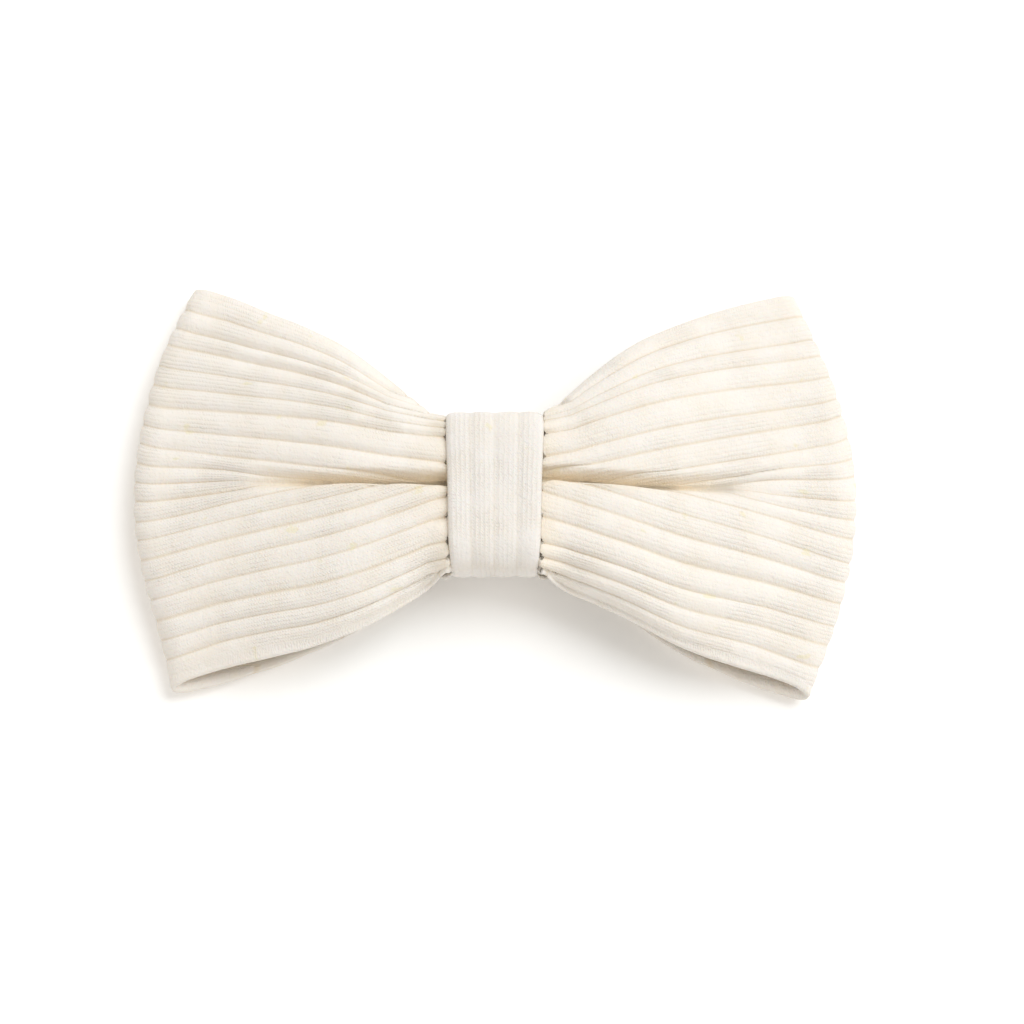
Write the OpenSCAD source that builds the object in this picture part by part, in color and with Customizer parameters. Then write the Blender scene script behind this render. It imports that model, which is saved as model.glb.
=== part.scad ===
// Clip-on bow tie in rib knit, lying on its back with its front facing up.
// X runs along the bow, Y is up as the tie is worn and Z points out of the front.
// The bow is one strip of knit closed into a flat loop. A knot band gathers its middle,
// and a sprung clip with two jaws, sewn to the back of the band, grips the shirt collar.

/* [Bow] */
// Width of the finished bow
bow_width = 120; // [118:1:122]
// Height of the wings at their outer corners
wing_height = 69; // [68:1:71]
// How far each outer fold stands out past its corners
fold_bow = 9; // [7:0.5:10]
// Height of the middle of each outer fold above the table
fold_lift = 2; // [1.5:0.1:2.5]
// Thickness of the doubled knit strip
knit_thick = 1.4; // [1.2:0.1:1.5]
// Depth of the long hollow down the front of each wing
crease_depth = 4.6; // [4:0.1:4.8]

/* [Knot] */
// How far the knot sits below the middle of the wings
knot_drop = 3.4; // [2.8:0.1:3.6]
// Width of the knot band at its upper end
band_width = 16.2; // [15.8:0.1:16.4]
// How much narrower the band is at its lower end
band_taper = 1.6; // [0:0.1:2]
// Height of the knot
knot_height = 26.8; // [26.6:0.1:27.4]
// Depth of the knot from back to front
knot_depth = 13; // [13:0.1:13.4]
// Thickness of the folded knit band
band_thick = 1.5; // [1.4:0.05:1.5]
// Thread thickness
thread_d = 0.44; // [0.36:0.02:0.46]
// Turns of the gathering thread
gather_turns = 4; // [3:1:5]

/* [Clip] */
// Length of the clip bar
bar_length = 54; // [52:1:56]
// Width of the clip bar
bar_width = 9; // [8.8:0.1:9.2]
// Thickness of the bar's sheet steel
bar_thick = 0.8; // [0.7:0.05:0.8]
// Thickness of the jaw levers' sheet steel
lever_thick = 0.5; // [0.45:0.05:0.5]
// Height of the levers' outer faces above the backs of the wings
lever_lift = 0.2; // [0.15:0.05:0.3]
// Distance of each jaw hinge from the middle of the clip
hinge_x = 15; // [14.6:0.1:15.4]
// Height of the hinge pins above the backs of the wings
hinge_z = 2.6; // [2.55:0.05:2.65]
// Radius of the hinge pins
pin_r = 0.75; // [0.7:0.01:0.78]
// Radial running clearance of a jaw lever on its pin
pin_play = 0.05; // [0.03:0.01:0.08]
// Wire thickness of the torsion springs
wire_d = 0.5; // [0.4:0.05:0.5]
// Whole turns in each torsion spring
spring_turns = 4; // [3:1:5]

/* [Hidden] */
$fn = 48;

knit_colour = [0.96, 0.93, 0.86];
lining_colour = [0.93, 0.92, 0.88];
thread_colour = [0.9, 0.86, 0.76];
steel_colour = [0.76, 0.77, 0.79];
spring_colour = [0.6, 0.61, 0.64];
pad_colour = [0.86, 0.84, 0.8];

fit = 0.05;                           // hairline between pieces that are pressed together
lining_thick = 0.4;
thread_r = thread_d / 2;

// Heights of the clip and of the knot that sits on it
bar_z = 4.4;
knot_z = bar_z + bar_thick + 0.1 + knot_depth / 2;

// Hollow inside the knot: band, then interlining, then thread, then the gathered bow
band_in = [knot_height / 2 - band_thick, knot_depth / 2 - band_thick];
knot_lining_out = band_in - [fit, fit];
knot_lining_in = knot_lining_out - [lining_thick, lining_thick];
thread_mid = knot_lining_in - [fit + thread_r, fit + thread_r];
gathered = thread_mid - [thread_r + 0.15, thread_r + 0.15];
gather_round = 2.6;                   // corner radius of the gathered bow
edge_round = 2;                       // how far the gathered bow thins at its two edges
shoulder = 13.2;                      // half height of the wings where they leave the band

// Wing shape
reach = bow_width / 2;
nose_start = 0.93;                    // share of the reach where the outer fold begins
fold_depth = 5.2;                     // depth of the outer folds from back to front
lobe_rise = knot_z + knot_depth / 2 - 2.1;
clip_clear = bar_z + bar_thick + 0.4; // the back of the wings rides over the clip bar
loop_steps = 80;
rib_steps = 16;

// ---------- general functions ----------

function smooth(k) = let (c = max(0, min(1, k))) c * c * (3 - 2 * c);
function mix(a, b, k) = a + (b - a) * k;
function unit(v) = v / norm(v);

// Falls from 0 inside the share c to 1 at the edge, like a rounded corner
function corner(v, c) = abs(v) < c ? 0 : 1 - sqrt(max(0, 1 - pow((abs(v) - c) / (1 - c), 2)));

// ---------- bow ----------
// v runs from -1 at the lower edge of the strip to 1 at the upper edge.
// t runs from 0 at the middle of the bow to 1 at the outer fold.

function fold_x(v) = reach - fold_bow * v * v;

// Middle of the strip: level with the knot at the knot, level with the wings further out
function mid_y(t) = -knot_drop * (1 - smooth((t - 0.1) / 0.5));

function half_height(t) =
    let (flare = 1 - pow(1 - max(0, (t - 0.15) / 0.85), 1.65))
    mix(
        gathered[0] + 0.4 * smooth(t / 0.15),
        shoulder + (wing_height / 2 - shoulder) * flare,
        smooth((t - 0.157) / 0.07)
    );

function crease(t, y) =
    let (
        deep = smooth((t + 0.12) / 0.34) * (1 - 0.86 * smooth((t - 0.42) / 0.5)),
        line_y = mix(-0.6, -1.7, smooth(t / 0.5))
    )
    crease_depth * deep * exp(-pow((y - line_y) / mix(3.2, 6.5, t), 2));

function front_z(t, v, y) =
    let (
        fall = smooth((t - 0.34) / 0.74),
        puff = 0.9 * pow(sin(180 * max(0, min(1, (t - 0.15) / 0.35))), 2),
        neck = (lobe_rise - knot_z - gathered[1]) * (1 - smooth(t / 0.14)),
        edge = mix(edge_round, 2.8, smooth(t / 0.5)) * (1 - 0.75 * smooth((t - 0.45) / 0.35))
    )
    mix(lobe_rise, fold_depth + fold_lift * (1 - v * v), fall) + puff - neck - crease(t, y)
        - edge * corner(v, mix(0.7, 0.4, smooth((t - 0.15) / 0.35)));

function back_z(t, v, x, y) =
    let (
        rise = knot_z - gathered[1] + mix(edge_round, 2.6, smooth(t / 0.15)) * corner(v, 0.7),
        end = fold_lift * (1 - v * v) * smooth((t - 0.65) / 0.35),
        free = mix(rise, end, smooth((t - 0.12) / 0.3)),
        over_clip = clip_clear * (1 - smooth((abs(x) - bar_length / 2 - 1) / 8)),
        near_clip = 1 - smooth((abs(y + knot_drop) - bar_width / 2 - 0.8) / 6)
    )
    mix(free, max(free, over_clip), near_clip);

function nose(t) = t < nose_start ? 1 : sqrt(max(0, 1 - pow((t - nose_start) / (1 - nose_start), 2)));

// A point on the loop: a goes round it from the front middle, inset goes into the knit
function bow_point(a, v, inset) =
    let (
        x = sin(a) * (fold_x(v) - inset),
        t = abs(x) / fold_x(v),
        y = mid_y(t) + v * half_height(t),
        front = front_z(t, v, y) - inset,
        back = back_z(t, v, x, y) + inset,
        side = cos(a) < 0 ? -1 : 1
    )
    [x, y, (front + back) / 2 + side * (front - back) / 2 * nose(abs(sin(a)))];

// Rows across the strip lie closer together toward its edges
function row_v(j) = let (w = 2 * j / rib_steps - 1) w * (1.45 - 0.45 * w * w);

// Closed loop between two insets, leaving out some rows along each edge
module loop_shell(inset_out, inset_in, skip) {
    around = loop_steps;
    across = rib_steps - 2 * skip;
    row = across + 1;
    half = around * row;
    points = [
        for (inset = [inset_out, inset_in]) for (i = [0:around - 1]) for (j = [0:across])
            bow_point(360 * i / around, row_v(j + skip), inset)
    ];
    function at(layer, i, j) = layer * half + (i % around) * row + j;
    skin = [
        for (i = [0:around - 1]) for (j = [0:across - 1]) each [
            [at(0, i, j), at(0, i, j + 1), at(0, i + 1, j + 1)],
            [at(0, i, j), at(0, i + 1, j + 1), at(0, i + 1, j)],
            [at(1, i, j), at(1, i + 1, j + 1), at(1, i, j + 1)],
            [at(1, i, j), at(1, i + 1, j), at(1, i + 1, j + 1)]
        ]
    ];
    rims = [
        for (i = [0:around - 1]) each [
            [at(0, i, 0), at(0, i + 1, 0), at(1, i + 1, 0)],
            [at(0, i, 0), at(1, i + 1, 0), at(1, i, 0)],
            [at(0, i, across), at(1, i + 1, across), at(0, i + 1, across)],
            [at(0, i, across), at(1, i, across), at(1, i + 1, across)]
        ]
    ];
    polyhedron(points, concat(skin, rims), convexity = 8);
}

module bow_loop() {
    color(knit_colour) loop_shell(0, knit_thick, 0);
}

module bow_interlining() {
    color(lining_colour)
        loop_shell(knit_thick + fit, knit_thick + fit + lining_thick, 2);
}

// ---------- threads ----------

// Round tube along a list of points, for thread and spring wire
module tube(path, r, sides, up, closed = false) {
    count = len(path);
    last = count - 1;
    rings = [
        for (i = [0:last])
            let (
                before = closed ? path[(i + last) % count] : path[max(0, i - 1)],
                after = closed ? path[(i + 1) % count] : path[min(last, i + 1)],
                ahead = unit(after - before),
                across = unit(cross(ahead, up)),
                over = cross(across, ahead)
            )
            for (k = [0:sides - 1])
                path[i] + r * (across * cos(360 * k / sides) + over * sin(360 * k / sides))
    ];
    function at(i, k) = (i % count) * sides + k % sides;
    walls = [
        for (i = [0:closed ? last : last - 1]) for (k = [0:sides - 1]) each [
            [at(i, k), at(i, k + 1), at(i + 1, k + 1)],
            [at(i, k), at(i + 1, k + 1), at(i + 1, k)]
        ]
    ];
    ends = closed ? [] : [
        [for (k = [sides - 1:-1:0]) at(0, k)],
        [for (k = [0:sides - 1]) at(last, k)]
    ];
    polyhedron(rings, concat(walls, ends), convexity = 6);
}

// Short stitch lying along Y or X on a face
module stitch(length, along_y = true) {
    rotate(along_y ? [90, 0, 0] : [0, 90, 0]) cylinder(h = length, r = thread_r, center = true, $fn = 16);
}

// Puts the knot and the clip, drawn round Y = 0, at the knot's own height
module at_knot() {
    translate([0, -knot_drop, 0]) children();
}

// Running stitches across the overlapped ends of the strip, behind the gathered middle
module bow_end_seam() {
    seam_x = 4;
    stitch_length = 1.8;
    pitch = 2.8;
    color(thread_colour) at_knot()
        for (i = [-3:3])
            translate([seam_x, i * pitch, knot_z - gathered[1] - thread_r - 0.02]) stitch(stitch_length);
}

// One turn round a slab with rounded corners; hy and hz are half its height and depth
function slab_turn(hy, hz, r, x, steps) = [
    for (q = [0:3]) for (k = [0:steps])
        let (
            a = 90 * q + 90 * k / steps,
            cy = (q == 0 || q == 3 ? 1 : -1) * (hy - r),
            cz = (q < 2 ? 1 : -1) * (hz - r)
        )
        [x, cy + r * cos(a), knot_z + cz + r * sin(a)]
];

module gathering_thread() {
    color(thread_colour) at_knot()
        for (i = [0:gather_turns - 1])
            tube(slab_turn(thread_mid[0], thread_mid[1], gather_round + thread_r,
                (i - (gather_turns - 1) / 2) * (thread_d + 0.08), 5), thread_r, 6, [1, 0, 0], true);
}

// ---------- knot ----------

module rounded_slab(hy, hz, r) {
    square([2 * (hy - r), 2 * hz], center = true);
    square([2 * hy, 2 * (hz - r)], center = true);
    for (sy = [-1, 1]) for (sz = [-1, 1]) translate([sy * (hy - r), sz * (hz - r)]) circle(r);
}

// Ring of folded knit or interlining round the gathered bow, narrower at the lower end
module knot_ring(outer, inner, round_out, width, taper) {
    upper = outer[0] + 1;
    half_up = width / 2;
    half_low = (width - taper) / 2;
    intersection() {
        translate([-width / 2, 0, knot_z]) rotate([90, 0, 90]) linear_extrude(width)
            difference() {
                rounded_slab(outer[0], outer[1], round_out);
                rounded_slab(inner[0], inner[1], round_out - (outer[0] - inner[0]));
            }
        linear_extrude(2 * knot_z)
            polygon([[-half_up, upper], [half_up, upper], [half_low, -upper], [-half_low, -upper]]);
    }
}

module knot_band() {
    color(knit_colour) at_knot()
        knot_ring([knot_height / 2, knot_depth / 2], band_in,
            gather_round + 0.1 + thread_d + lining_thick + fit + band_thick, band_width, band_taper);
}

module knot_interlining() {
    color(lining_colour) at_knot()
        knot_ring(knot_lining_out, knot_lining_in,
            gather_round + 0.1 + thread_d + lining_thick, band_width - 1.2, band_taper);
}

// Whip stitches that close the band at the back, above the clip bar
module knot_closing_stitches() {
    seam_y = bar_width / 2 + 2.6;
    color(thread_colour) at_knot()
        for (i = [-3:3])
            translate([1.9 * i, seam_y, knot_z - knot_depth / 2 - thread_r - 0.02])
                rotate([0, 0, 25]) stitch(2.2);
}

// ---------- clip ----------

tack_x = 4.6;
tack_y = 2.6;
jog_x = bar_length / 2 - 7.5;         // the bar's ends are stepped toward the jaws here
jog = 0.8;
ear_thick = 0.8;
ear_r = 1.5;
tip_x = bar_length / 2;
pad_x = [jog_x + 1.6, tip_x - 0.7];
pad_meet = 2.15;                      // height where the pads of closed jaws meet
lever_top = lever_lift + lever_thick;
pad_width = 7.6;

// Places a shape drawn for the right side on the side given by -1 or 1
module on_side(side) {
    if (side > 0) children();
    else mirror([1, 0, 0]) children();
}

// Draws a profile in X and Z and gives it a width along Y
module across(width) {
    translate([0, width / 2, 0]) rotate([90, 0, 0]) linear_extrude(width) children();
}

module bar_half_profile() {
    low = bar_z;
    top = bar_z + bar_thick;
    polygon([
        [0, low], [jog_x - 0.9, low], [jog_x + 0.9, low - jog], [tip_x, low - jog],
        [tip_x, top - jog], [jog_x + 0.7, top - jog], [jog_x - 1.1, top], [0, top]
    ]);
}

module ear_profile(r, reach_z) {
    translate([hinge_x, hinge_z]) circle(r);
    translate([hinge_x - r, hinge_z]) square([2 * r, reach_z - hinge_z]);
}

module clip_bar() {
    ear_y = bar_width / 2 - ear_thick / 2;
    color(steel_colour) at_knot()
        difference() {
            union() {
                for (side = [-1, 1]) on_side(side) {
                    across(bar_width) bar_half_profile();
                    for (sy = [-1, 1])
                        translate([0, sy * ear_y, 0]) across(ear_thick) ear_profile(ear_r, bar_z + 0.1);
                }
            }
            for (side = [-1, 1]) {
                translate([side * hinge_x, 0, hinge_z]) rotate([90, 0, 0])
                    cylinder(h = bar_width + 2, r = pin_r, center = true);
                for (sy = [-1, 1])
                    translate([side * tack_x, sy * tack_y, bar_z - 1]) cylinder(h = 3, r = 0.9);
            }
        }
}

// Three threads at each corner go through a hole in the bar and round its edge
module clip_tacking_stitches() {
    edge_y = bar_width / 2 + 0.35;
    low = bar_z - thread_r - 0.03;
    top = bar_z + bar_thick + 0.08;
    color(thread_colour) at_knot()
        for (sx = [-1, 1]) for (sy = [-1, 1]) for (k = [-1:1])
            translate([sx * tack_x + k * 0.46, 0, 0]) {
                for (y = [tack_y, edge_y])
                    translate([0, sy * y, low]) cylinder(h = top - low, r = thread_r, $fn = 16);
                translate([0, sy * (tack_y + edge_y) / 2, low])
                    stitch(edge_y - tack_y + thread_d);
            }
}

// Toothed rubber pad between two heights; teeth face up on a jaw and down on the bar
module pad(side, base_z, tooth_z) {
    teeth = 5;
    step = (pad_x[1] - pad_x[0]) / teeth;
    valley = tooth_z + (base_z > tooth_z ? 0.45 : -0.45);
    color(pad_colour) at_knot() on_side(side) across(pad_width)
        polygon(concat(
            [[pad_x[1], base_z], [pad_x[0], base_z]],
            [
                for (i = [0:teeth - 1]) each [
                    [pad_x[0] + step * (i + 0.1), valley], [pad_x[0] + step * (i + 0.4), tooth_z],
                    [pad_x[0] + step * (i + 0.6), tooth_z], [pad_x[0] + step * (i + 0.9), valley]
                ]
            ]
        ));
}

module hinge_pin(side) {
    head_r = 1.15;
    head = 0.4;
    color(steel_colour) at_knot() translate([side * hinge_x, 0, hinge_z]) rotate([90, 0, 0]) {
        cylinder(h = bar_width + 2 * head, r = pin_r, center = true);
        for (end = [-1, 1])
            translate([0, 0, end * (bar_width + head) / 2]) cylinder(h = head, r = head_r, center = true);
    }
}

// Coil round the hinge pin; one leg presses on the bar and the other on the lever's tab
module torsion_spring(side) {
    coil_r = pin_r + wire_d / 2 + 0.15;
    pitch = wire_d + 0.1;
    leg = 5;
    per_turn = 14;
    steps = round(per_turn * (spring_turns + 0.5));
    length = pitch * steps / per_turn;
    bar_leg = bar_z - hinge_z - wire_d / 2 - 0.02;
    tab_leg = hinge_z - lever_top - wire_d / 2 - 0.02;
    path = concat(
        [[-leg, -length / 2, bar_leg], [-leg * 0.5, -length / 2, mix(coil_r, bar_leg, 0.5)]],
        [
            for (i = [0:steps])
                let (a = 90 - 360 * i / per_turn)
                [coil_r * cos(a), length * (i / steps - 0.5), coil_r * sin(a)]
        ],
        [[-leg * 0.5, length / 2, -mix(coil_r, tab_leg, 0.5)], [-leg, length / 2, -tab_leg]]
    );
    color(spring_colour) at_knot() on_side(side) translate([hinge_x, 0, hinge_z])
        tube(path, wire_d / 2, 6, [0, 1, 0]);
}

// Pressed steel lever: thumb tab toward the knot, hinge cheeks, then the jaw
module jaw_lever(side) {
    tab = [8.6, 12.6];
    tab_half = 4.2;
    waist_half = 3.6;
    jaw_start = 2 * hinge_x - tab[1];
    round_r = 1.6;
    cheek = 0.7;
    cheek_z = lever_lift + lever_thick / 2;
    color(steel_colour) at_knot() on_side(side)
        difference() {
            union() {
                translate([0, 0, lever_lift]) linear_extrude(lever_thick) {
                    translate([tab[0] + round_r, -tab_half]) square([tab[1] - tab[0] - round_r, 2 * tab_half]);
                    translate([tab[0], round_r - tab_half]) square([round_r, 2 * (tab_half - round_r)]);
                    for (sy = [-1, 1])
                        translate([tab[0] + round_r, sy * (tab_half - round_r)]) circle(round_r);
                    translate([tab[1] - 0.1, -waist_half])
                        square([jaw_start - tab[1] + 0.2, 2 * waist_half]);
                    translate([jaw_start, -tab_half]) square([tip_x - jaw_start, 2 * tab_half]);
                }
                for (sy = [-1, 1])
                    translate([0, sy * (waist_half - cheek / 2), 0]) across(cheek) {
                        translate([hinge_x, hinge_z]) circle(ear_r);
                        translate([hinge_x - 2.2, cheek_z]) square([4.4, hinge_z - 1]);
                        translate([hinge_x - ear_r, cheek_z]) square([2 * ear_r, hinge_z - cheek_z]);
                    }
                translate([tip_x - 0.6, 0.2 - tab_half, lever_lift + 0.1])
                    cube([0.5, 2 * tab_half - 0.4, pad_meet - lever_lift - 0.45]);
            }
            translate([hinge_x, 0, hinge_z]) rotate([90, 0, 0])
                cylinder(h = bar_width, r = pin_r + pin_play, center = true);
            for (i = [0:2])
                translate([tab[0] + 1 + 0.9 * i, 0, lever_lift])
                    cube([0.35, 2 * tab_half - 2.6, 0.4], center = true);
        }
}

module left_bar_pad() { pad(-1, bar_z - jog, pad_meet + fit); }
module right_bar_pad() { pad(1, bar_z - jog, pad_meet + fit); }
module left_jaw_pad() { pad(-1, lever_top, pad_meet - fit); }
module right_jaw_pad() { pad(1, lever_top, pad_meet - fit); }

bow_loop();
bow_interlining();
bow_end_seam();
gathering_thread();
knot_band();
knot_interlining();
knot_closing_stitches();
clip_bar();
clip_tacking_stitches();
left_bar_pad();
right_bar_pad();
hinge_pin(-1);  // left_hinge_pin
hinge_pin(1);  // right_hinge_pin
torsion_spring(-1);  // left_torsion_spring
torsion_spring(1);  // right_torsion_spring
jaw_lever(-1);  // left_jaw_lever
jaw_lever(1);  // right_jaw_lever
left_jaw_pad();
right_jaw_pad();
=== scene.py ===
import math

import bpy
import numpy as np
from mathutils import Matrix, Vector


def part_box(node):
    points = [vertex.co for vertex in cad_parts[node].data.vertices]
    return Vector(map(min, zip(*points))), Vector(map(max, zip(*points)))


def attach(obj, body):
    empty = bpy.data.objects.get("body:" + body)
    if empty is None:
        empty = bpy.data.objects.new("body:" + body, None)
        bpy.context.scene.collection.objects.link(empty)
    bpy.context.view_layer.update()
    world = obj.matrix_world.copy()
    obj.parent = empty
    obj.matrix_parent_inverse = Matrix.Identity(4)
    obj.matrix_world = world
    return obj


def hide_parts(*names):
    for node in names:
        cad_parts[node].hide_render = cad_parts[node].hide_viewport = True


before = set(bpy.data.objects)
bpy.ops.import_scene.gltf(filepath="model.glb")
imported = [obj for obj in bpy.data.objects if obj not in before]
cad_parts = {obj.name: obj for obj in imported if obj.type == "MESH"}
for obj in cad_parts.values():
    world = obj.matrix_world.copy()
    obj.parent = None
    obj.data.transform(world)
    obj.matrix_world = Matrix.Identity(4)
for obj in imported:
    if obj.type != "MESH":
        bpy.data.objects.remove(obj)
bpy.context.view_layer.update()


# Camera: almost straight down on the tie as it lies on its back, from just below
# its lower edge, with a long lens.
scene = bpy.context.scene
lens = 100
view_width = 0.1693
elevation = math.radians(74)
aim = Vector((0.0028, -0.0047, 0.006))
away = Vector((0, -math.cos(elevation), math.sin(elevation)))
camera_data = bpy.data.cameras.new("camera")
camera_data.lens = lens
camera_data.clip_start = 0.01
camera = bpy.data.objects.new("camera", camera_data)
scene.collection.objects.link(camera)
camera.location = aim + away * (view_width * lens / camera_data.sensor_width)
camera.rotation_mode = "QUATERNION"
camera.rotation_quaternion = (-away).to_track_quat("-Z", "Y")
scene.camera = camera


# Studio: a white sweep under a white tent, with one broad soft lamp high on the
# right behind the tie, so that shadows fall softly to the lower left.
tent_colour = (1, 0.969, 0.93, 1)
tent_strength = 0.66
lamp_colour = (0.93, 0.97, 1)
lamp_energy = 1.62
lamp_spread = math.radians(40)
lamp_from = Vector((0.68, 0.42, 1.15))
floor_half = 3
floor_z = -0.0002
scene.view_settings.view_transform = "Standard"
world = bpy.data.worlds.new("tent")
world.use_nodes = True
world.node_tree.nodes["Background"].inputs["Color"].default_value = tent_colour
world.node_tree.nodes["Background"].inputs["Strength"].default_value = tent_strength
scene.world = world
lamp_data = bpy.data.lights.new("soft_lamp", "SUN")
lamp_data.energy = lamp_energy
lamp_data.angle = lamp_spread
lamp_data.color = lamp_colour
lamp = bpy.data.objects.new("soft_lamp", lamp_data)
lamp.rotation_mode = "QUATERNION"
lamp.rotation_quaternion = lamp_from.to_track_quat("Z", "Y")
scene.collection.objects.link(lamp)

floor_mesh = bpy.data.meshes.new("floor")
floor_turns = ((-1, -1), (1, -1), (1, 1), (-1, 1))
floor_corners = [(sx * floor_half, sy * floor_half, floor_z) for sx, sy in floor_turns]
floor_mesh.from_pydata(floor_corners, [], [(0, 1, 2, 3)])
floor = bpy.data.objects.new("floor", floor_mesh)
scene.collection.objects.link(floor)


# Shader sums: a Wire is one output of a shader node. Python's operators on it add
# Math nodes, and node() adds any other kind.
class Wire:
    def __init__(self, tree, socket=None):
        self.tree = tree
        self.socket = socket

    def node(self, kind, settings=None, values=None, out=0):
        made = self.tree.nodes.new(kind)
        for key, value in (settings or {}).items():
            setattr(made, key, value)
        for key, value in (values or {}).items():
            if isinstance(value, Wire):
                self.tree.links.new(value.socket, made.inputs[key])
            else:
                made.inputs[key].default_value = value
        return Wire(self.tree, made.outputs[out])

    def math(self, operation, *terms):
        return self.node("ShaderNodeMath", {"operation": operation}, dict(enumerate(terms)))

    def __add__(self, other):
        return self.math("ADD", self, other)

    def __sub__(self, other):
        return self.math("SUBTRACT", self, other)

    def __rsub__(self, other):
        return self.math("SUBTRACT", other, self)

    def __mul__(self, other):
        return self.math("MULTIPLY", self, other)

    def __truediv__(self, other):
        return self.math("DIVIDE", self, other)

    __radd__ = __add__
    __rmul__ = __mul__

    def fract(self):
        return self.math("FRACT", self)

    def size(self):
        return self.math("ABSOLUTE", self)

    def wave(self):
        return self.math("COSINE", self * (2 * math.pi)) * 0.5 + 0.5

    def ramp(self, low, high):
        return self.node("ShaderNodeMapRange", {"interpolation_type": "SMOOTHSTEP"},
            {0: self, 1: low, 2: high})

    def tint(self, plain, other):
        return self.node("ShaderNodeMix", {"data_type": "RGBA"}, {0: self, 6: plain, 7: other}, 2)

    def feed(self, shader, name):
        self.tree.links.new(self.socket, shader.inputs[name])


def finish_named(name, **constants):
    material = bpy.data.materials.new(name)
    material.use_nodes = True
    shader = material.node_tree.nodes["Principled BSDF"]
    for key, value in constants.items():
        shader.inputs[key.replace("_", " ")].default_value = value
    return material, shader, Wire(material.node_tree)


sweep, sweep_shader, wire = finish_named("white_sweep", Roughness=0.9,
    Emission_Color=(1, 0.965, 0.91, 1), Emission_Strength=0.13)
grain = wire.node("ShaderNodeTexNoise", {}, {"Scale": 40.0, "Detail": 4.0})
grain.tint((0.975, 0.97, 0.96, 1), (0.985, 0.98, 0.97, 1)).feed(sweep_shader, "Base Color")
floor_mesh.materials.append(sweep)


# Bow loop: one strip of cream rib knit, doubled, its ends sewn together so that it
# makes a flat loop. The gather at the middle turns the loop into two wings, and a
# pleat along the middle of each wing takes up the strip's middle ribs.
MM = 0.001
bow_low, bow_high = (np.array(c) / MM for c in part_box("bow_loop"))
knot_low, knot_high = (np.array(c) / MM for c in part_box("knot_band"))
reach = bow_high[0]
wing_half = bow_high[1]
knot_y = (knot_low[1] + knot_high[1]) / 2
knot_z = (knot_low[2] + knot_high[2]) / 2
knot_side = knot_high[0]
lobe_below = 2.1
lobe_rise = knot_high[2] - lobe_below
clip_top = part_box("clip_bar")[1].z / MM
clip_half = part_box("clip_bar")[1].x / MM
knit_thick = 1.4
neck_half = 10.9
neck_depth = 3.9
band_taper = 0.8
fold_depth = 5.4
fold_lift = 2.2
nose_start = 0.93
band_ease = 0.85
puff_rise = 1.1
lip_rise = 0.6
neck_curl = 2.0
corner_curl = 1.3
clip_room = 0.5
left_top = ((8, 8.9), (9.9, 9.9), (14, 13.1), (19, 17.1), (25.6, 22.3), (32.2, 26.2), (38, 29),
    (43.8, 32.1), (51.5, 35.4))
right_top = ((8, 9.6), (9.1, 10.6), (14, 15), (19, 18.9), (25.6, 23.4), (32.2, 26.9), (38.8, 29.8),
    (51, 34))
left_bottom = ((8, -16.6), (9.9, -17.7), (14.4, -20.7), (21.7, -25), (28.4, -27.4), (36.2, -28.6),
    (46, -30.3), (52.2, -32))
right_bottom = ((8, -16.9), (12.1, -18.8), (19.3, -22.2), (29.1, -27.2), (38.7, -29.7), (46, -31.4),
    (52, -33.5))


def smooth(k):
    """0 up to 0, 1 from 1 on, and an S-curve between."""
    k = np.clip(k, 0, 1)
    return k * k * (3 - 2 * k)


def mix(a, b, k):
    return a + (b - a) * k


def corner(v, c):
    """0 up to c on both sides, then a quarter circle down to 1 at the edge."""
    k = np.clip((np.abs(v) - c) / (1 - c), 0, 1)
    return 1 - np.sqrt(1 - k * k)


def hump(k, middle, width):
    """A bell curve of height 1."""
    return np.exp(-((k - middle) / width) ** 2)


def drift(seed, *places):
    """Slow, smooth unevenness, about -1 to 1; places are in wavelengths."""
    chance = np.random.default_rng(seed)
    waves = 7
    fastest = 6.28
    total = 0
    for _ in range(waves):
        turn = chance.uniform(0, 2 * np.pi)
        total = total + np.sin(sum(p * chance.uniform(-fastest, fastest) for p in places) + turn)
    return total * 0.3


def loop_columns(stops, nose_steps):
    """Side, share of the reach and closing of each column round the loop."""
    flat = np.concatenate([np.linspace(a, b, n, endpoint=False) for a, b, n in stops])
    turn = np.linspace(0, np.pi, nose_steps)
    share = np.concatenate([flat, nose_start + (1 - nose_start) * np.sin(turn), flat[:0:-1]])
    close = np.concatenate([np.ones(len(flat)), np.cos(turn), -np.ones(len(flat) - 1)])
    side = np.concatenate([np.ones(len(share) + 1), -np.ones(len(share) - 1)])
    share = np.concatenate([share, [0], share[:0:-1]])
    close = np.concatenate([close, [-1], close[:0:-1]])
    return side[:, None], share[:, None], close[:, None]


def curve(x, *stops):
    """A smooth line through (place, value) stops, level past both ends."""
    places, values = np.array(stops).T
    slope = np.gradient(values, places)
    k = np.clip(np.searchsorted(places, x) - 1, 0, len(places) - 2)
    wide = places[k + 1] - places[k]
    u = np.clip((x - places[k]) / wide, 0, 1)
    bend = wide * u * (1 - u) * (slope[k] * (1 - u) - slope[k + 1] * u)
    return mix(values[k], values[k + 1], u * u * (3 - 2 * u)) + bend


def crease_line(side, x):
    """Y of the bottom of the pleat."""
    left = curve(x, (0, -2.6), (9, -2.5), (25, -2.3), (32, -1.9), (38, -1.5), (60, -0.6))
    right = curve(x, (0, -2.2), (9, -1.8), (18, -2.5), (26, -2.9), (35, -2.4), (42, -1.9), (60, -1.2))
    return mix(left, right, side > 0)


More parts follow.
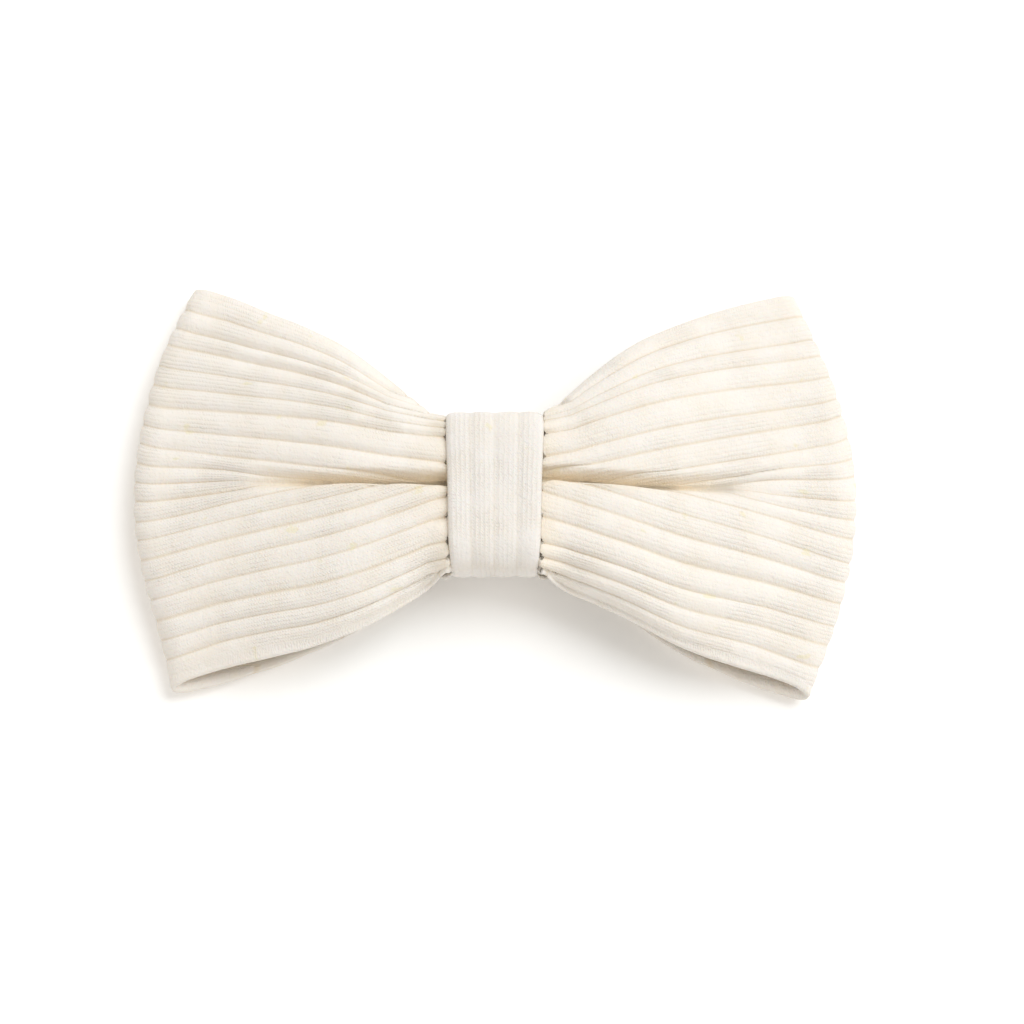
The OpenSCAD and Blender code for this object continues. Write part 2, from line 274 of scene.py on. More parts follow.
def crease_depth(side, x, off):
    """The pleat along the front of each wing, steep on both sides."""
    left = curve(x, (0, 2.6), (7.5, 3.0), (10, 3.6), (22, 3.6), (29, 3.1), (36, 2.0), (43, 0.6), (50, 0))
    right = curve(x, (0, 2.6), (7.5, 3.0), (10, 3.6), (26, 3.8), (34, 3.3), (41, 2.0), (48, 0.6), (54, 0))
    wide_above = curve(x, (8, 1.1), (30, 1.3), (42, 2.4))
    wide_below = curve(x, (8, 0.7), (30, 0.9), (42, 2.4))
    wide = np.where(off > 0, wide_above, wide_below)
    return mix(left, right, side > 0) * np.exp(-(off / wide) ** 2)


def bow_surface(side, t, close, v, inset):
    """Points on the loop; inset goes from its outer face into the knit."""
    right = side > 0
    v2 = v * v
    set_back_high = mix(8.6 * v2, 11.4 * v2 * (1 - 0.22 * v2), right)
    set_back_low = mix(10 * v2 * (1 - 0.33 * v2), 8.4 * v2, right)
    set_back = np.where(v > 0, set_back_high, set_back_low)
    x = t * (reach - inset) - set_back * t * t
    t = x / (reach - set_back)
    taper = band_taper * np.clip(0.5 - 0.5 * v, 0, 1)
    free_side = x - knot_side + taper
    high = mix(curve(x, *left_top), curve(x, *right_top), right)
    low = mix(curve(x, *left_bottom), curve(x, *right_bottom), right)
    clear = smooth((free_side + band_ease) / band_ease)
    high = mix(knot_y + neck_half, high, clear)
    low = mix(knot_y - neck_half, low, clear)
    crease = crease_line(side, x)
    y = np.where(v > 0, mix(crease, high, v), mix(crease, low, -v))

    # The back ply lies inside the front's lower edge near the knot, and shows below it at the fold.
    tuck = curve(x, (8, 0), (10, 2.4), (20, 2.9), (28, 1.6), (37, -0.4), (46, -1.6), (52, -1.4))
    tuck = tuck * (v < 0) * v2
    y_back = y + tuck - 0.6 * (v > 0) * v2 * smooth(free_side / 4)
    fall = smooth((t - 0.34) / 0.74)
    puff = puff_rise * clear * (1 - smooth((t - 0.3) / 0.3))
    neck_drop = (lobe_rise - knot_z - neck_depth) * (1 - clear)
    roll_high = curve(x, (7.9, 2.4), (10, 4.4), (16, 4.8), (26, 3.4), (36, 1.7), (48, 0.9))
    roll_low = curve(x, (7.9, 2.4), (10, 5.8), (16, 6.6), (26, 4.4), (36, 2.0), (50, 1.0))
    round_off = np.where(v > 0, roll_high, roll_low)
    front = mix(lobe_rise, fold_depth + fold_lift * (1 - v2), fall) + puff - neck_drop
    front = front - crease_depth(side, x, y - crease)
    front = front - round_off * corner(v, mix(0.6, 0.35, smooth(free_side / 4)))
    rise = knot_z - neck_depth + neck_curl * (1 - smooth(free_side / 2.5)) * corner(v, 0.7)
    end = fold_lift * (1 - v2) * smooth((t - 0.65) / 0.35)
    free = mix(rise, end, smooth((t - 0.12) / 0.3))
    over_clip = (clip_top + clip_room) * (1 - smooth((x - clip_half - 1) / 8))
    near_clip = 1 - smooth((np.abs(y_back - knot_y) - 5.4) / 6)
    back = mix(free, np.maximum(free, over_clip), near_clip)
    back = back + corner_curl * corner(v, 0.86) * (v < 0) * smooth((x - 26) / 10)

    front = front - inset
    back = back + inset
    z = (front + back) / 2 + close * (front - back) / 2
    lip = lip_rise * smooth(free_side / 2) * (1 - smooth((t - 0.5) / 0.3))
    y = y + lip * hump(y - crease, -1.6, 1.1)
    return np.stack([side * x, mix(y_back, y, (close + 1) / 2), z], -1)


def loop_normals(points):
    """Outward normals of a loop of columns, from the neighbours of each point."""
    along = np.roll(points, -1, 0) - np.roll(points, 1, 0)
    across = np.gradient(points, axis=1)
    normal = np.cross(along, across)
    return normal / np.linalg.norm(normal, axis=-1, keepdims=True)


def knit_object(name, points, strip, hollow=None):
    """A closed mesh from a grid of points in millimetres that joins up both ways."""
    columns, rows = points.shape[:2]
    index = np.arange(columns * rows).reshape(columns, rows)
    index = np.pad(index, ((0, 1), (0, 1)), "wrap")
    quads = np.stack([index[:-1, :-1], index[1:, :-1], index[1:, 1:], index[:-1, 1:]], -1)
    quads = quads.reshape(-1, 4)
    mesh = bpy.data.meshes.new(name)
    mesh.from_pydata((points.reshape(-1, 3) * MM).tolist(), [], quads.tolist())
    if strip is not None:
        layer = mesh.uv_layers.new(name="strip")
        layer.data.foreach_set("uv", strip.reshape(-1, 2)[quads.ravel()].ravel())
    # An optional per-point amount of painted shade, for the knit material.
    if hollow is not None:
        painted_shade = mesh.attributes.new("hollow", "FLOAT", "POINT")
        painted_shade.data.foreach_set("value", hollow.ravel().astype(np.float32))
    mesh.polygons.foreach_set("use_smooth", np.ones(len(quads), bool))
    mesh.update()
    piece = bpy.data.objects.new(name, mesh)
    scene.collection.objects.link(piece)
    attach(piece, "root")
    return piece


def strip_rows(count):
    """Places across the strip, from -1 to 1, up to four times closer in the pleat."""
    crowding = 3
    even = np.linspace(-1, 1, 2001)
    level = np.cumsum(1 + crowding * hump(even, 0, 0.07))
    return np.interp(np.linspace(level[0], level[-1], count), level, even)[None, :]


outer_rows = 250
inner_rows = 48
rim_rows = 4
nose_steps = 21
column_stops = [(0, 0.125, 4), (0.125, 0.165, 14), (0.165, 0.28, 12), (0.28, nose_start, 38)]
side, share, close = loop_columns(column_stops, nose_steps)
v = strip_rows(outer_rows)
outer = bow_surface(side, share, close, v, 0)

# Ribs run straight from the fold to the knot, seen from above the lower edge. They are
# even at the fold. At the knot the upper and lower ones crowd towards the edges, and
# the middle ones have gone down into the pleat from both sides.
at_fold = 0.995
step = np.linalg.norm(np.diff(outer, axis=1), axis=-1)
arc = np.concatenate([np.zeros((len(outer), 1)), np.cumsum(step, 1)], 1)
strip_width = arc[share[:, 0] > at_fold, -1].mean()
seen = outer[..., 1] * math.sin(elevation) + outer[..., 2] * math.cos(elevation)
to_fold = (share - knot_side / reach) / (1 - knot_side / reach)
knot_ribs_low = {
    -1: (-13.6, -12.5, -10.3, -7.3, -3.5, -0.2, 2.3, 4.6, 6.6, 7.9, 9.2, 10.5),
    1: (-13.6, -12.5, -10.6, -7.7, -3.7, 0.4, 4.1, 6.6, 8.2, 9.5, 10.8, 12.1)}
knot_ribs_high = {
    -1: (14.8, 14.2, 13.5, 12.8, 12.2, 11.0, 9.5, 5.6, 1.3, 0.1, -1.2, -2.5),
    1: (14.8, 14.2, 12.8, 12.0, 10.0, 6.4, 2.9, -0.1, -2.0, -3.4, -5.0, -6.5)}
rib_counts = {-1: 20, 1: 19}
rib_lines = 12
pleat_pitch = 3.5
knot_pitch = 3.0
pleat_row = np.argmin(np.abs(v))
front_ribs = np.zeros(arc.shape)
for c in range(len(outer)):
    wing_side = int(side[c, 0])
    count = rib_counts[wing_side]
    ends = seen[(side[:, 0] == wing_side) & (share[:, 0] > at_fold)].mean(0)[[0, -1]]
    low_rows = np.arange(rib_lines)
    fold_low = mix(ends[0], ends[1], low_rows / count)
    fold_high = mix(ends[1], ends[0], low_rows / count)
    lines_low = mix(np.array(knot_ribs_low[wing_side]), fold_low, to_fold[c, 0])
    lines_high = mix(np.array(knot_ribs_high[wing_side]), fold_high, to_fold[c, 0])
    ease = (1 - low_rows / (rib_lines - 1)) ** 2
    lines_low = lines_low + min(0, seen[c, :pleat_row].min() - lines_low[0]) * ease
    lines_high = lines_high + max(0, seen[c, pleat_row:].max() - lines_high[0]) * ease
    ridge = np.argmax(seen[c, :pleat_row + 1])
    from_low = np.interp(seen[c], lines_low, low_rows)
    from_low[ridge:] = from_low[ridge] + (arc[c, ridge:] - arc[c, ridge]) / pleat_pitch
    from_high = count - np.interp(seen[c], lines_high[::-1], low_rows[::-1])
    pleat_wide = mix(2.2, 16, smooth((share[c, 0] - 0.6) / 0.3))
    over = smooth((arc[c] - arc[c, pleat_row]) / pleat_wide + 0.5)
    front_ribs[c] = mix(from_low, from_high, over)
off_pleat = arc - arc[:, [pleat_row]]
rib_count = np.where(side > 0, rib_counts[1], rib_counts[-1])
rib_pitch = strip_width / rib_count
back_pitch = mix(knot_pitch, rib_pitch, np.clip(to_fold, 0, 1))
back_ribs = rib_count / 2 + (arc - arc[:, -1:] / 2) / back_pitch
ribs = mix(back_ribs, front_ribs, (close + 1) / 2)

along = np.linalg.norm(np.diff(outer, axis=0, append=outer[:1]), axis=-1).mean(1)
run = np.concatenate([[0], np.cumsum(along)])[:-1]
run = np.minimum(run, along.sum() - run)[:, None]
left_start = 40
edge_smooth = 0.6
wing = np.where(side > 0, 0, left_start)
edge_fade = smooth(ribs / edge_smooth) * smooth((rib_count - ribs) / edge_smooth)
ribs = ribs + 0.06 * np.sin(ribs * 2.3 + wing) + 0.04 * np.sin(ribs * 4.1 + 1 + wing)
ribs = ribs + 0.06 * drift(4, (run + wing) / 45, ribs / 9)

# Each groove has its own depth. It is deeper where it goes in under the band, shallower on
# the fold, and fades out where the knit is too squeezed to show it.
groove_deep = 0.62
gather_deep = 0.12
groove_power = 2.5
spread = np.gradient(arc, axis=1) / np.maximum(np.abs(np.gradient(ribs, axis=1)), 1e-4)
near_knot = np.exp(-np.maximum(0, np.abs(outer[..., 0]) - knot_side) / 2.4)
uneven = np.clip(1 + 0.5 * drift(9, (run + wing) / 38, np.round(ribs) * 0.9), 0.25, 1.9)
groove_depth = groove_deep * uneven * (1 - 0.45 * smooth((share - 0.9) / 0.08)) + gather_deep * near_knot
groove_depth = groove_depth * smooth((spread - 0.8) / 1.2)
groove = np.abs(2 * (ribs - np.floor(ribs)) - 1) ** groove_power
swell_height = 0.22
swell = swell_height * drift(2, (run + wing) / 30, arc / 24) * smooth((share - 0.14) / 0.2)
in_pleat = (1 - smooth((share - 0.55) / 0.2)) * (close > 0) * hump(off_pleat, 0, 2.6)
lift = (swell - groove_depth * groove * edge_fade) * (1 - in_pleat)
outer = outer + loop_normals(outer) * lift[..., None]

inner_v = -strip_rows(inner_rows)
inner = bow_surface(side, share, close, inner_v, knit_thick)
inner_ribs = np.stack([np.interp(inner_v[0], v[0], r) for r in ribs])


def rim(start, finish, bulge):
    """Rows that round one folded edge of the strip from one face to the other."""
    rows = []
    for k in range(1, rim_rows + 1):
        turn = np.pi * k / (rim_rows + 1)
        middle = mix(start, finish, (1 - np.cos(turn)) / 2)
        rows.append(middle + np.outer(bulge * np.sin(turn), (0, 1, 0)))
    return np.stack(rows, 1)


high_bulge = 0.5
high_rim = rim(outer[:, -1], inner[:, 0], high_bulge)
hem_near = 0.7
hem_more = 0.8
hem = hem_near + hem_more * smooth((np.abs(outer[:, 0, 0]) - 26) / 12)
low_rim = rim(inner[:, -1], outer[:, 0], -hem)
bow_points = np.concatenate([outer, high_rim, inner, low_rim], 1)
rim_ribs = [np.repeat(r, rim_rows, 1) for r in (ribs[:, -1:], ribs[:, :1])]
all_ribs = np.concatenate([ribs, rim_ribs[0], inner_ribs, rim_ribs[1]], 1)
edge_inset = 0.12
flat_ribs = np.clip(all_ribs, edge_inset, rib_count - edge_inset)
bow_map = np.stack([np.broadcast_to(run + wing, all_ribs.shape), flat_ribs], -1)
# Painted shade: amounts of a warm tan tint laid where shade falls, on the pleat's walls, on the wing
# beside the knot and on the inside faces of the loop away from its edges.
wall = hump(outer[..., 1] - crease_line(side, np.abs(outer[..., 0])), 0.1, 1.3)
wall = wall * (close > 0) * (1 - smooth((np.abs(outer[..., 0]) - 30) / 16))
wall_shade_tint = 0.75
knot_shade_tint = 0.4
inside_shade_tint = 0.8
hollow = np.zeros(all_ribs.shape)
hollow[:, :outer_rows] = np.clip(wall_shade_tint * wall + knot_shade_tint * near_knot, 0, 1)
hollow[:, outer_rows + rim_rows:-rim_rows] = inside_shade_tint * smooth((1 - np.abs(inner_v)) / 0.1)
bow = knit_object("bow_loop_knit", bow_points, bow_map, hollow)
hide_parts("bow_loop")
strip_length = along.sum() * MM


def rib_knit(name, wales, stitch, cream, groove_shade_colour, groove_shade_strength):
    """Matt cotton rib knit: wales of small chevron stitches, with tan painted shade in the grooves between
    ribs, faintly between the wales, and where the mesh's shade amount says.
    """
    material, shader, wire = finish_named(name, Roughness=0.92, Sheen_Weight=0.2, Sheen_Roughness=0.5,
        Subsurface_Weight=0.12, Subsurface_Radius=(0.9, 0.65, 0.45), Subsurface_Scale=0.0012,
        Specular_IOR_Level=0.2)
    place = wire.node("ShaderNodeUVMap", {"uv_map": "strip"})
    run = place.node("ShaderNodeSeparateXYZ", {}, {0: place})
    ribs = place.node("ShaderNodeSeparateXYZ", {}, {0: place}, 1)
    space = wire.node("ShaderNodeTexCoord", {}, {}, 3)
    warp = wire.node("ShaderNodeTexNoise", {}, {"Vector": space, "Scale": 700.0, "Detail": 2.0}) - 0.5
    groove = ((ribs.fract() - 0.5).size() * 2).ramp(0.78, 1.0)
    off_wale = (((ribs * wales + warp * 0.5).fract()) - 0.5).size() * 2
    bead = (run / stitch + off_wale * 0.8 + warp * 1.7).wave()
    fuzz = wire.node("ShaderNodeTexNoise", {}, {"Vector": space, "Scale": 2600.0, "Detail": 3.0})
    laid = wire.node("ShaderNodeMapping", {}, {"Vector": place, "Scale": (0.22, 1.1, 1)})
    patch = wire.node("ShaderNodeTexNoise", {}, {"Vector": laid, "Scale": 1.0, "Detail": 2.0})
    mottle = wire.node("ShaderNodeTexNoise", {}, {"Vector": space, "Scale": 230.0, "Detail": 4.0})
    patchy = wire.node("ShaderNodeTexNoise", {}, {"Vector": space, "Scale": 120.0, "Detail": 2.0})
    patchy = patchy.ramp(0.35, 0.65)
    stitches = (1 - off_wale * off_wale) * (bead * 0.5 + 0.5) * (patchy * 0.7 + 0.2)
    height = stitches + fuzz * 1.1 + warp * 1.2
    tone = tuple(c * k for c, k in zip(cream, (0.985, 0.97, 0.94, 1)))
    ground = mottle.ramp(0.3, 0.75).tint(cream, tone)
    # Painted shade: tan in the grooves between ribs, and faintly in patches between the wales.
    ground = (off_wale.ramp(0.5, 1.0) * patchy * 0.1 + groove * groove_shade_strength).tint(ground, groove_shade_colour)
    stain = patch.ramp(0.68, 0.74) * 0.45
    ground = stain.tint(ground, (0.87, 0.79, 0.5, 1))
    # Painted shade: the mesh's per-point shade amount tints the colour towards warm tan.
    painted_shade = wire.node("ShaderNodeAttribute", {"attribute_name": "hollow"}, {}, 2)
    (painted_shade * 0.8).tint(ground, (0.93, 0.78, 0.56, 1)).feed(shader, "Base Color")
    relief = wire.node("ShaderNodeBump", {}, {"Strength": 0.8, "Distance": 0.00015, "Height": height})
    relief.feed(shader, "Normal")
    return material


wales_per_rib = 5.0
stitch_length = 0.5
bow_cream = (0.928, 0.877, 0.815, 1)
# Tan of the painted shade in the bow's grooves; the 0.4 below is how strongly it is laid on.
bow_groove_shade_colour = (0.76, 0.62, 0.42, 1)
bow_knit = rib_knit("cream_rib_knit", wales_per_rib, stitch_length, bow_cream, bow_groove_shade_colour, 0.4)
bow.data.materials.append(bow_knit)


# Bow interlining: thin non-woven stiffener fused to the inside of the loop, a little
# narrower than the strip and cut to a waist where it is gathered, so that the knot
# isn't bulky. It shows only deep in the wings.
lining_gap = 0.15
lining_thick = 0.4
lining_share = 0.93
lining_shorter = 0.01
waist_share = 0.88
lining_columns = loop_columns([(0, nose_start, 50)], 13)
lining_v = lining_share * strip_rows(70)
lining_out = bow_surface(*lining_columns, lining_v, knit_thick + lining_gap)
lining_in = bow_surface(*lining_columns, lining_v[:, ::-1], knit_thick + lining_gap + lining_thick)
lining_points = np.concatenate([lining_out, lining_in], 1)
lining = knit_object("bow_interlining_sheet", lining_points, None)
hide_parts("bow_interlining")
lining_cut = (2 * wing_half * lining_share * MM, strip_length - lining_shorter)
waist_share * lining_cut[0] * lining_cut[1]


def non_woven(name):
    """Matt pressed fibres, close to white."""
    material, shader, wire = finish_named(name, Roughness=0.95, Specular_IOR_Level=0.1)
    space = wire.node("ShaderNodeTexCoord", {}, {}, 3)
    fibre = wire.node("ShaderNodeTexNoise", {}, {"Vector": space, "Scale": 900.0, "Detail": 5.0,
        "Distortion": 1.5})
    fibre.ramp(0.3, 0.7).tint((0.9, 0.85, 0.74, 1), (0.94, 0.91, 0.83, 1)).feed(shader, "Base Color")
    pressed = wire.node("ShaderNodeBump", {}, {"Strength": 0.5, "Distance": 0.0001, "Height": fibre})
    pressed.feed(shader, "Normal")
    return material


fused = non_woven("non_woven_lining")
lining.data.materials.append(fused)


# Knot band: a narrower strip of the same knit, folded to two plies, with its ribs
# running up and down. It goes round the gathered middle and is sewn at the back.
knot_half_y = (knot_high[1] - knot_low[1]) / 2
knot_half_z = (knot_high[2] - knot_low[2]) / 2
band_thick = 1.5
band_round = 4.7
band_top = knot_high[0]
flap_from = 5.6
flap_to = 11.5
flap_rise = 0.7
band_crown = 0.35
band_half_ribs = 2.0
band_groove_deep = 0.22
band_uneven = 0.08
around_steps = 240
band_rows = 72
band_inner_rows = 16


def slab_path(half_y, half_z, radius, steps, crown=0.0):
    """Evenly spaced points and outward normals round a slab with round corners."""
    fine = []
    for q in range(4):
        for a in np.linspace(0, np.pi / 2, 60):
            turn = a + q * np.pi / 2
            cy = (half_y - radius) * (1 if q in (0, 3) else -1)
            cz = (half_z - radius) * (1 if q < 2 else -1)
            fine.append((cy + radius * math.cos(turn), cz + radius * math.sin(turn)))
    fine = np.array(fine + fine[:1])
    length = np.concatenate([[0], np.cumsum(np.linalg.norm(np.diff(fine, axis=0), axis=1))])
    at = np.linspace(0, length[-1], steps, endpoint=False)
    path = np.stack([np.interp(at, length, fine[:, k]) for k in (0, 1)], 1)
    ahead = np.roll(path, -1, 0) - np.roll(path, 1, 0)
    normal = np.stack([ahead[:, 1], -ahead[:, 0]], 1)
    normal = normal / np.linalg.norm(normal, axis=1, keepdims=True)
    path[:, 1] += crown * np.where(path[:, 1] > 0, 1 - (path[:, 0] / half_y) ** 2, 0)
    return path, normal, at


path, path_normal, path_run = slab_path(knot_half_y, knot_half_z, band_round, around_steps,
    band_crown)
across = np.linspace(-1, 1, band_rows)
band_edge = np.sqrt(np.clip(1 - np.abs(across) ** 14, 0, 1))
band_ribs = across * band_half_ribs
half_width = band_top - band_taper * (1 - path[:, 0] / knot_half_y) / 2
half_width = half_width + band_uneven * drift(21, path_run / 14)
flap_ends = smooth((path[:, 0] - flap_from) / 0.25) * (1 - smooth((path[:, 0] - flap_to) / 2.5))
on_back = (path[:, 1] < 0) * flap_ends
thick = band_thick * 0.5
band_groove = np.abs(2 * (band_ribs - np.floor(band_ribs)) - 1) ** groove_power
lift = flap_rise * on_back[:, None] - band_groove_deep * band_groove[None, :]
lift = lift + band_uneven * drift(22, path_run[:, None] / 9, across[None, :] * 1.2)
lift = lift - thick * (1 - band_edge[None, :])


def band_grid(share_x, depth):
    """Points of the band for shares of its half width and depths above its outer face."""
    x = share_x * half_width[:, None]
    y = knot_y + path[:, :1] + path_normal[:, :1] * depth
    z = knot_z + path[:, 1:] + path_normal[:, 1:] * depth
    return np.stack([x, y + 0 * x, z + 0 * x], -1)


band_outer = band_grid(across[None, :], lift)
inner_across = np.linspace(1, -1, band_inner_rows)
inner_edge = np.sqrt(np.clip(1 - np.abs(inner_across) ** 8, 0, 1))
inner_depth = (-band_thick + thick * (1 - inner_edge))[None, :] + 0 * path[:, :1]
band_inner = band_grid(inner_across[None, :], inner_depth)
band_points = np.concatenate([band_outer, band_inner[:, 1:-1]], 1)
band_across = np.concatenate([across, inner_across[1:-1]])
band_map = np.stack(np.broadcast_arrays(path_run[:, None], band_across[None, :] * band_half_ribs), -1)
band = knit_object("knot_band_knit", band_points[:, ::-1], band_map[:, ::-1])
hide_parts("knot_band")
2 * half_width.mean() * MM
# The band's cream is the same knit's colour painted a little darker than on the wings, as painted shade;
# its grooves get a paler, fainter tan painted shade.
band_shaded_cream = (0.885, 0.845, 0.8, 1)
band_groove_shade_colour = (0.78, 0.68, 0.52, 1)
band_knit = rib_knit("cream_band_knit", wales_per_rib, stitch_length, band_shaded_cream, band_groove_shade_colour, 0.15)
band.data.materials.append(band_knit)


# Knot interlining: a strip of the same non-woven just inside the band, a little narrower
# than it, so that the band stays flat over the gathers.
ring_gap = 0.05
ring_round = 3.6
ring_narrower = 0.4
ring_half_y = knot_half_y - band_thick - ring_gap
ring_half_z = knot_half_z - band_thick - ring_gap
ring_path, ring_normal, _ = slab_path(ring_half_y, ring_half_z, ring_round, 120)
ring_across = np.linspace(-1, 1, 12) * (band_top - band_taper - ring_narrower)
rings = []
for depth, order in ((0, 1), (-lining_thick, -1)):
    x = ring_across[None, ::order] + 0 * ring_path[:, :1]
    y = knot_y + ring_path[:, :1] + ring_normal[:, :1] * depth
    z = knot_z + ring_path[:, 1:] + ring_normal[:, 1:] * depth
    rings.append(np.stack(np.broadcast_arrays(x, y, z), -1))
ring_points = np.concatenate(rings, 1)[:, ::-1]
knot_lining = knit_object("knot_interlining_sheet", ring_points, None)
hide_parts("knot_interlining")
knot_lining.data.materials.append(fused)


# Sewing threads: three-ply spun polyester. One row closes the strip's overlapped ends,
# four tight turns hold the gather under the knot, one row closes the knot band behind,
# and short loops tack the clip bar to it.
thread_radius = 0.2
ply_depth = 0.17
twist_length = 1.1
thread_sides = 12
thread_step = 0.09


def thread_tube(path):
    """Rings of points round a path, in the three-lobed section of twisted plies."""
    path = np.array(path, float)
    length = np.concatenate([[0], np.cumsum(np.linalg.norm(np.diff(path, axis=0), axis=1))])
    at = np.linspace(0, length[-1], max(8, int(length[-1] / thread_step)))
    path = np.stack([np.interp(at, length, path[:, k]) for k in range(3)], 1)
    ahead = np.gradient(path, axis=0)
    ahead = ahead / np.linalg.norm(ahead, axis=1, keepdims=True)
    up = Vector((0.31, 0.52, 0.79))
    turn = np.linspace(0, 2 * np.pi, thread_sides, endpoint=False)
    rings = []
    for place, way, run in zip(path, ahead, at):
        way = Vector(way)
        up = (up - way * up.dot(way)).normalized()
        out = way.cross(up)
        lobes = 1 + ply_depth * (np.cos(3 * (turn - 2 * np.pi * run / twist_length / 3)) - 0.6)
        reach_out = thread_radius * lobes
        spokes = [(up * math.cos(a) + out * math.sin(a)) * r for a, r in zip(turn, reach_out)]
        rings.append([Vector(place) + spoke for spoke in spokes])
    return [[tuple(p * MM) for p in ring] for ring in rings]


def thread_piece(name, paths, node):
    """One mesh of several lengths of thread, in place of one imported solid."""
    corners = []
    faces = []
    for path in paths:
        rings = thread_tube(path)
        for k in range(len(rings) - 1):
            first = len(corners) + k * thread_sides
            for a in range(thread_sides):
                b = (a + 1) % thread_sides
                faces.append((first + a, first + b, first + thread_sides + b, first + thread_sides + a))
        last = len(corners) + (len(rings) - 1) * thread_sides
        faces.append(tuple(len(corners) + a for a in reversed(range(thread_sides))))
        faces.append(tuple(last + a for a in range(thread_sides)))
        corners.extend(p for ring in rings for p in ring)
    mesh = bpy.data.meshes.new(name)
    mesh.from_pydata(corners, [], faces)
    mesh.polygons.foreach_set("use_smooth", np.ones(len(faces), bool))
    mesh.materials.append(spun)
    piece = bpy.data.objects.new(name, mesh)
    scene.collection.objects.link(piece)
    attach(piece, "root")
    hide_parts(node)


def stitch_path(middle, half, dip):
    """One stitch from hole to hole; its ends dip into the cloth."""
    steps = np.linspace(-1, 1, 15)
    drop = np.abs(steps) ** 5
    return [np.array(middle) + np.array(half) * k + np.array(dip) * d for k, d in zip(steps, drop)]


spun, spun_shader, wire = finish_named("spun_thread", Roughness=0.7, Sheen_Weight=0.25,
    Specular_IOR_Level=0.3)
space = wire.node("ShaderNodeTexCoord", {}, {}, 3)
strand = wire.node("ShaderNodeTexNoise", {}, {"Vector": space, "Scale": 2500.0, "Detail": 4.0,
    "Distortion": 2.0})
strand.ramp(0.3, 0.7).tint((0.8, 0.74, 0.62, 1), (0.91, 0.87, 0.78, 1)).feed(spun_shader, "Base Color")
hairs = wire.node("ShaderNodeBump", {}, {"Strength": 0.5, "Distance": 0.00005, "Height": strand})
hairs.feed(spun_shader, "Normal")

seam_low, seam_high = (np.array(c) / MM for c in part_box("bow_end_seam"))
seam_mid = (seam_low + seam_high) / 2
seam_count = 7
seam_ends = 0.9
seam_half = (0, 1.1, 0)
seam_dip = (0, 0, 0.5)
seam_paths = []
for k in range(seam_count):
    seam_y = mix(seam_low[1] + seam_ends, seam_high[1] - seam_ends, k / (seam_count - 1))
    seam_paths.append(stitch_path((seam_mid[0], seam_y, seam_mid[2]), seam_half, seam_dip))
thread_piece("bow_end_seam_thread", seam_paths, "bow_end_seam")

wrap_low, wrap_high = (np.array(c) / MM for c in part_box("gathering_thread"))
wrap_mid = (wrap_low + wrap_high) / 2
thread_half = 0.22
wrap_round = 2.6
wrap_turns = 4
wrap_size = (wrap_high - wrap_low) / 2 - thread_half
wrap = slab_path(wrap_size[1], wrap_size[2], wrap_round, 160)[0]
wrap = np.concatenate([wrap] * wrap_turns)
wrap_x = np.linspace(-wrap_size[0], wrap_size[0], len(wrap))
wrap_points = np.stack([wrap_mid[0] + wrap_x, wrap_mid[1] + wrap[:, 0], wrap_mid[2] + wrap[:, 1]], 1)
thread_piece("gathering_thread_turns", [wrap_points], "gathering_thread")

close_low, close_high = (np.array(c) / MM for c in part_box("knot_closing_stitches"))
close_mid = (close_low + close_high) / 2
close_pitch = 1.9
close_half = 1.15
close_dip = (0, 0, 0.6)
lean = np.array([math.sin(math.radians(25)), math.cos(math.radians(25)), 0])
close_paths = []
for k in range(-3, 4):
    stitch_mid = close_mid + np.array([close_pitch * k, 0, 0])
    close_paths.append(stitch_path(stitch_mid, lean * close_half, close_dip))
thread_piece("knot_closing_thread", close_paths, "knot_closing_stitches")

tack_low, tack_high = (np.array(c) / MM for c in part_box("clip_tacking_stitches"))
tack_y = (tack_low[1] + tack_high[1]) / 2
tack_side = 4.6
tack_pitch = 0.46
tack_near = 2.6
tack_far = 4.85
tack_top = 5.4
bend_up = 0.3
bend_in = 0.25
tack_paths = []
for tack_x in (-tack_side, tack_side):
    for k in (-1, 0, 1):
        for way in (-1, 1):
            near = tack_y + way * (tack_near + 0.1 * k)
            far = tack_y + way * tack_far
            low_z = tack_low[2] + thread_half
            x = tack_x + tack_pitch * k
            down = [(x, near, tack_top), (x, near, low_z + bend_up), (x, near + way * bend_in, low_z)]
            back_up = [(x, far - way * bend_in, low_z), (x, far, low_z + bend_up), (x, far, tack_top)]
            tack_paths.append(down + back_up)
thread_piece("clip_tacking_thread", tack_paths, "clip_tacking_stitches")


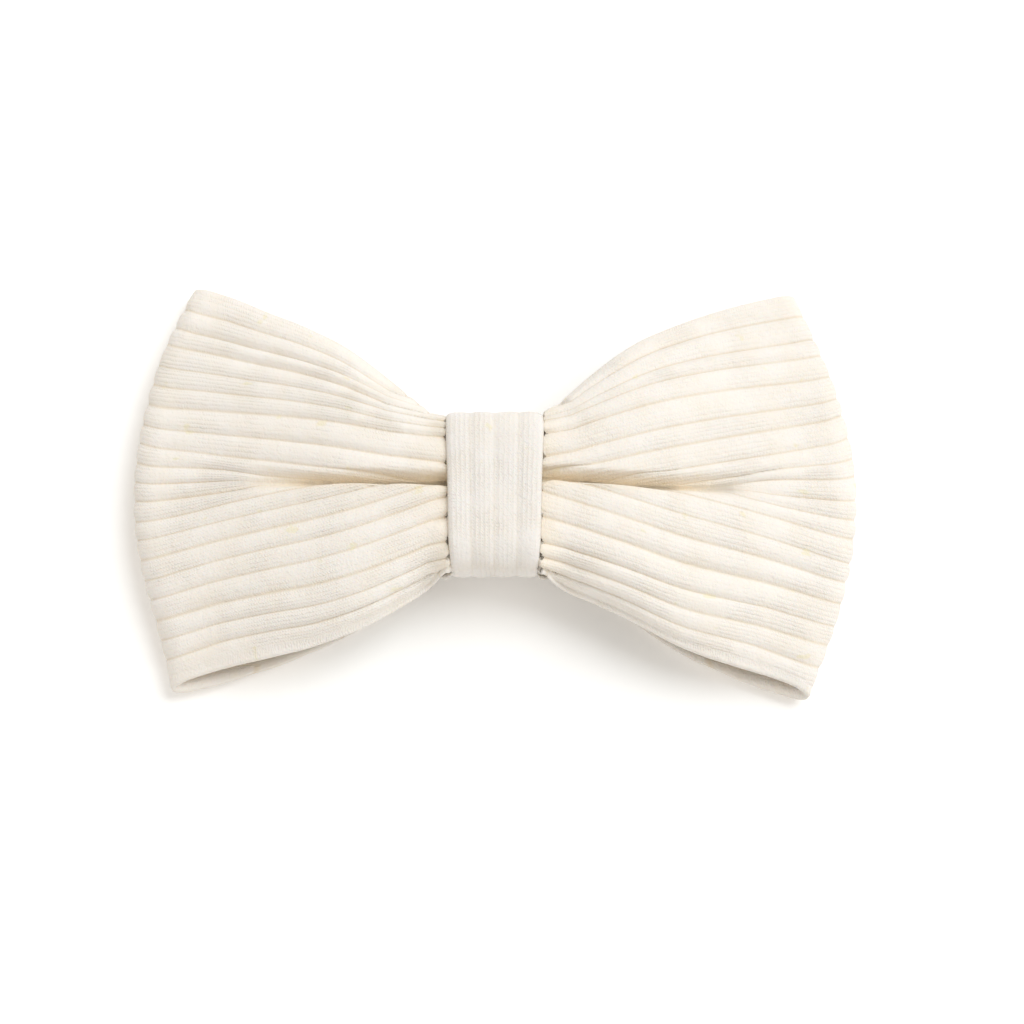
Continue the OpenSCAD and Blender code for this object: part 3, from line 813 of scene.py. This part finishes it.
# Collar clip: a pressed bar with two sprung jaw levers, nickel plated, on riveted wire
# pins with torsion springs, and with a moulded grip pad on each jaw.
def metal(name, light, dark, dull, grain):
    """Metal with fine lines one way, faint clouding and a few rubbed patches."""
    material, shader, wire = finish_named(name, Metallic=1.0)
    space = wire.node("ShaderNodeTexCoord", {}, {}, 3)
    combed = wire.node("ShaderNodeMapping", {}, {"Vector": space, "Scale": grain})
    lines = wire.node("ShaderNodeTexNoise", {}, {"Vector": combed, "Scale": 1.0, "Detail": 3.0})
    cloud = wire.node("ShaderNodeTexNoise", {}, {"Vector": space, "Scale": 160.0, "Detail": 4.0})
    rubbed = wire.node("ShaderNodeTexNoise", {}, {"Vector": space, "Scale": 420.0, "Detail": 5.0})
    rubbed = rubbed.ramp(0.6, 0.7)
    cloud.ramp(0.3, 0.75).tint(light, dark).feed(shader, "Base Color")
    (lines * 0.16 + rubbed * 0.08 + dull).feed(shader, "Roughness")
    brushed = wire.node("ShaderNodeBump", {}, {"Strength": 0.25, "Distance": 0.00003, "Height": lines})
    brushed.feed(shader, "Normal")
    return material


def refinish(material, *nodes):
    """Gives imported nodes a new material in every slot."""
    for node in nodes:
        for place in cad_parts[node].material_slots:
            place.material = material


nickel = metal("nickel_plate", (0.78, 0.77, 0.75, 1), (0.66, 0.65, 0.63, 1), 0.2, (300, 6000, 6000))
refinish(nickel, "clip_bar", "left_jaw_lever", "right_jaw_lever")
pin_wire = metal("bright_pin_wire", (0.72, 0.72, 0.73, 1), (0.6, 0.6, 0.61, 1), 0.16, (5000, 400, 5000))
refinish(pin_wire, "left_hinge_pin", "right_hinge_pin")
spring_wire = metal("spring_wire", (0.56, 0.56, 0.58, 1), (0.42, 0.42, 0.44, 1), 0.24, (2500, 2500, 2500))
refinish(spring_wire, "left_torsion_spring", "right_torsion_spring")

rubber, rubber_shader, wire = finish_named("grip_rubber_moulded", Specular_IOR_Level=0.35)
space = wire.node("ShaderNodeTexCoord", {}, {}, 3)
pores = wire.node("ShaderNodeTexNoise", {}, {"Vector": space, "Scale": 3200.0, "Detail": 3.0})
dust = wire.node("ShaderNodeTexNoise", {}, {"Vector": space, "Scale": 500.0, "Detail": 5.0}).ramp(0.4, 0.7)
dust.tint((0.8, 0.78, 0.72, 1), (0.7, 0.67, 0.6, 1)).feed(rubber_shader, "Base Color")
(dust * 0.12 + 0.62).feed(rubber_shader, "Roughness")
skin = wire.node("ShaderNodeBump", {}, {"Strength": 0.4, "Distance": 0.00004, "Height": pores})
skin.feed(rubber_shader, "Normal")
refinish(rubber, "left_bar_pad", "right_bar_pad", "left_jaw_pad", "right_jaw_pad")
